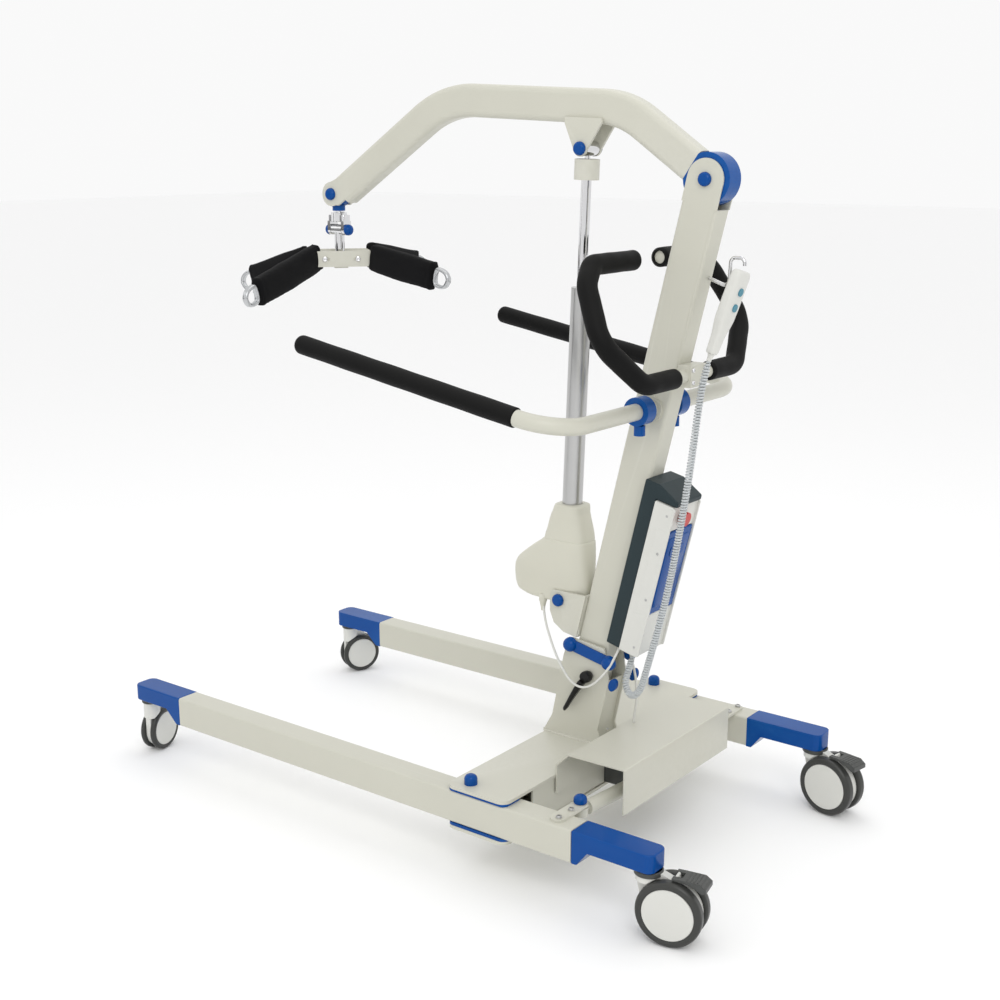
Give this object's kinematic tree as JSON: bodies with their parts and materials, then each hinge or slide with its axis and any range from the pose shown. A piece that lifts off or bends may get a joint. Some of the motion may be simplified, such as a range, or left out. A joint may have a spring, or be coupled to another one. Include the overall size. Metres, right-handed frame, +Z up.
{
  "type": "sit to stand lift",
  "caption": "Powered standing-aid lift: rolling base with spreading legs, inclined mast, curved boom with actuator, sling spreader bar, padded side arms and push handle.",
  "frame": {"origin": "floor level, on the centre plane between the legs, in the chair bay just ahead of the crossbeam and under the middle of the machine's length", "axes": "-X is forward, where the leg tips point and a chair rolls in; +X is the rear with the push handle; -Y is the near side with the clamp lever; +Z is up"},
  "size_m": [1.5025, 0.7827, 1.4995],
  "materials": {
    "cream_paint": "satin powder coat",
    "blue_plastic": "satin moulded",
    "chrome": "polished",
    "aluminium": "brushed",
    "grey_plastic": "moulded, fine grain",
    "black_foam": "closed-cell foam",
    "black_fabric": "padded fabric",
    "black_plastic": "satin",
    "white_plastic": "semi-gloss",
    "grey_tread": "smooth tread",
    "red_plastic": "glossy",
    "green_plastic": "satin",
    "clear_plastic": "milky, smooth",
    "zinc_steel": "zinc plated"
  },
  "bodies": {
    "base": {"base_frame": "cream_paint", "pivot_caps": "blue_plastic", "spreader_cover": "cream_paint", "gearmotor": "grey_plastic", "mast": "cream_paint", "mast_link": "blue_plastic", "control_bracket": "grey_plastic", "control_box": "white_plastic", "handset": "white_plastic", "handset_hook": "chrome", "handset_cord": "clear_plastic", "actuator_cord": "white_plastic", "spreader_cord": "white_plastic", "push_handle": "cream_paint", "handle_foam": "black_foam", "arm_collars": "blue_plastic"},
    "boom": {"boom_tube": "cream_paint", "boom_end_cap": "blue_plastic", "boom_clevis": "cream_paint", "boom_pins": "blue_plastic"},
    "hanger": {"hanger_hub": "blue_plastic"},
    "yoke": {"hanger_yoke": "chrome", "yoke_pin": "blue_plastic"},
    "spreader": {"spreader_stem": "chrome", "spreader_frame": "cream_paint", "arm_sleeves": "black_fabric", "sling_hooks": "chrome"},
    "actuator": {"actuator_motor": "white_plastic", "actuator_tube": "aluminium"},
    "rod": {"actuator_rod": "chrome", "rod_cup": "cream_paint"},
    "eye": {"rod_eye": "chrome"},
    "leg_near_body": {"leg_near": "cream_paint", "leg_castings_near": "blue_plastic"},
    "leg_far_body": {"leg_far": "cream_paint", "leg_castings_far": "blue_plastic"},
    "tie_near": {"tie_rod_near": "cream_paint"},
    "tie_far": {"tie_rod_far": "cream_paint"},
    "crank": {"spreader_crank": "zinc_steel"},
    "arm_near": {"arm_tube_near": "cream_paint", "arm_grip_near": "black_foam"},
    "arm_far": {"arm_tube_far": "cream_paint", "arm_grip_far": "black_foam"},
    "knob_near": {"lock_knob_near": "blue_plastic"},
    "knob_far": {"lock_knob_far": "blue_plastic"},
    "lever": {"clamp_lever": "black_plastic"},
    "battery_pack": {"battery": "blue_plastic"},
    "stop": {"stop_button": "red_plastic"},
    "button_up": {"handset_button_up": "green_plastic"},
    "button_down": {"handset_button_down": "green_plastic"},
    "caster_front_near": {"caster_fork_front_near": "white_plastic"},
    "wheel_front_near": {"caster_wheel_front_near": "grey_tread"},
    "caster_front_far": {"caster_fork_front_far": "white_plastic"},
    "wheel_front_far": {"caster_wheel_front_far": "grey_tread"},
    "caster_rear_near": {"caster_fork_rear_near": "white_plastic"},
    "wheel_rear_near": {"caster_wheel_rear_near": "grey_tread"},
    "pedal_rear_near": {"brake_pedal_rear_near": "grey_plastic"},
    "caster_rear_far": {"caster_fork_rear_far": "white_plastic"},
    "wheel_rear_far": {"caster_wheel_rear_far": "grey_tread"},
    "pedal_rear_far": {"brake_pedal_rear_far": "grey_plastic"}
  },
  "joints": [
    {"name": "boom_lift", "type": "hinge", "parent": "base", "child": "boom", "pos_m": [0.5299, 0, 1.321], "axis": [0, 1, 0], "range_deg": [-30, 12]},
    {"name": "hanger_pitch", "type": "hinge", "parent": "boom", "child": "hanger", "pos_m": [-0.399, 0, 1.276], "axis": [0, 1, 0], "range_deg": [-30, 30]},
    {"name": "hanger_swivel", "type": "hinge", "parent": "hanger", "child": "yoke", "pos_m": [-0.3965, 0, 1.24], "axis": [0, 0, 1], "continuous": true},
    {"name": "spreader_tilt", "type": "hinge", "parent": "yoke", "child": "spreader", "pos_m": [-0.3965, 0, 1.199], "axis": [1, 0, 0], "range_deg": [-20, 20]},
    {"name": "actuator_tilt", "type": "hinge", "parent": "base", "child": "actuator", "pos_m": [0.226, 0, 0.474], "axis": [0, 1, 0], "range_deg": [-0.56, 0.65]},
    {"name": "rod_extend", "type": "slide", "parent": "actuator", "child": "rod", "axis": [0.0366, 0, 0.9993], "range_m": [-0.1436, 0.05774]},
    {"name": "rod_eye_turn", "type": "hinge", "parent": "boom", "child": "eye", "pos_m": [0.259, 0, 1.374], "axis": [0, 1, 0], "range_deg": [-13, 31]},
    {"name": "leg_near_spread", "type": "hinge", "parent": "base", "child": "leg_near_body", "pos_m": [0.2345, -0.3374, 0.135], "axis": [0, 0, 1], "range_deg": [0, 11]},
    {"name": "leg_far_spread", "type": "hinge", "parent": "base", "child": "leg_far_body", "pos_m": [0.2345, 0.3374, 0.135], "axis": [0, 0, 1], "range_deg": [-11.5, 0.5]},
    {"name": "tie_near_turn", "type": "hinge", "parent": "leg_near_body", "child": "tie_near", "pos_m": [0.443, -0.268, 0.158], "axis": [0, 0, 1], "range_deg": [-11.5, 0.5]},
    {"name": "tie_far_turn", "type": "hinge", "parent": "leg_far_body", "child": "tie_far", "pos_m": [0.443, 0.268, 0.158], "axis": [0, 0, 1], "range_deg": [-0.5, 19.5]},
    {"name": "crank_turn", "type": "hinge", "parent": "base", "child": "crank", "pos_m": [0.423, 0, 0.145], "axis": [0, 0, 1], "range_deg": [-1, 61]},
    {"name": "swivel_front_near", "type": "hinge", "parent": "leg_near_body", "child": "caster_front_near", "pos_m": [-0.714, -0.3374, 0.12], "axis": [0, 0, 1], "continuous": true},
    {"name": "roll_front_near", "type": "hinge", "parent": "caster_front_near", "child": "wheel_front_near", "pos_m": [-0.71988, -0.3131, 0.05], "axis": [0.972, 0.235, 0], "continuous": true},
    {"name": "swivel_front_far", "type": "hinge", "parent": "leg_far_body", "child": "caster_front_far", "pos_m": [-0.714, 0.3374, 0.12], "axis": [0, 0, 1], "continuous": true},
    {"name": "roll_front_far", "type": "hinge", "parent": "caster_front_far", "child": "wheel_front_far", "pos_m": [-0.7032, 0.35995, 0.05], "axis": [0.9018, -0.4321, 0], "continuous": true},
    {"name": "swivel_rear_near", "type": "hinge", "parent": "leg_near_body", "child": "caster_rear_near", "pos_m": [0.6385, -0.3374, 0.12], "axis": [0, 0, 1], "continuous": true},
    {"name": "roll_rear_near", "type": "hinge", "parent": "caster_rear_near", "child": "wheel_rear_near", "pos_m": [0.6835, -0.32786, 0.0625], "axis": [0.2075, -0.9782, 0], "continuous": true},
    {"name": "brake_rear_near", "type": "hinge", "parent": "caster_rear_near", "child": "pedal_rear_near", "pos_m": [0.69132, -0.3262, 0.128], "axis": [-0.2075, 0.9782, 0], "range_deg": [0, 8], "stiffness_Nm_per_rad": 1},
    {"name": "swivel_rear_far", "type": "hinge", "parent": "leg_far_body", "child": "caster_rear_far", "pos_m": [0.6385, 0.3374, 0.12], "axis": [0, 0, 1], "continuous": true},
    {"name": "roll_rear_far", "type": "hinge", "parent": "caster_rear_far", "child": "wheel_rear_far", "pos_m": [0.68385, 0.32966, 0.0625], "axis": [-0.1682, -0.9858, 0], "continuous": true},
    {"name": "brake_rear_far", "type": "hinge", "parent": "caster_rear_far", "child": "pedal_rear_far", "pos_m": [0.69173, 0.32832, 0.128], "axis": [0.1682, 0.9858, 0], "range_deg": [0, 8], "stiffness_Nm_per_rad": 1},
    {"name": "arm_near_swing", "type": "hinge", "parent": "base", "child": "arm_near", "pos_m": [0.428, -0.06, 0.893], "axis": [0, 1, 0], "range_deg": [0, 80]},
    {"name": "arm_far_swing", "type": "hinge", "parent": "base", "child": "arm_far", "pos_m": [0.428, 0.06, 0.893], "axis": [0, 1, 0], "range_deg": [0, 80]},
    {"name": "lock_knob_near_pull", "type": "slide", "parent": "base", "child": "knob_near", "axis": [0, 0, -1], "range_m": [0, 0.008], "stiffness_N_per_m": 400},
    {"name": "lock_knob_far_pull", "type": "slide", "parent": "base", "child": "knob_far", "axis": [0, 0, -1], "range_m": [0, 0.008], "stiffness_N_per_m": 400},
    {"name": "clamp_lever_turn", "type": "hinge", "parent": "base", "child": "lever", "pos_m": [0.304, -0.04, 0.328], "axis": [0, 1, 0], "range_deg": [0, 60]},
    {"name": "battery_slide", "type": "slide", "parent": "base", "child": "battery_pack", "axis": [0.9722, 0, -0.234], "range_m": [0, 0.04]},
    {"name": "stop_press", "type": "slide", "parent": "base", "child": "stop", "axis": [-0.9722, 0, 0.234], "range_m": [0, 0.003], "stiffness_N_per_m": 800},
    {"name": "handset_up_press", "type": "slide", "parent": "base", "child": "button_up", "axis": [-0.9678, 0.0517, 0.2463], "range_m": [0, 0.0015], "stiffness_N_per_m": 500},
    {"name": "handset_down_press", "type": "slide", "parent": "base", "child": "button_down", "axis": [-0.9678, 0.0517, 0.2463], "range_m": [0, 0.0015], "stiffness_N_per_m": 500}
  ],
  "couplings": [
    {"joint": "actuator_tilt", "follows": "boom_lift", "ratio": -0.005},
    {"joint": "rod_extend", "follows": "boom_lift", "m_per_rad": 0.2733},
    {"joint": "rod_eye_turn", "follows": "boom_lift", "ratio": -1},
    {"joint": "leg_far_spread", "follows": "leg_near_spread", "ratio": -1},
    {"joint": "tie_near_turn", "follows": "leg_near_spread", "ratio": -0.945},
    {"joint": "tie_far_turn", "follows": "leg_near_spread", "ratio": 1.7255},
    {"joint": "crank_turn", "follows": "leg_near_spread", "ratio": 5.455}
  ]
}
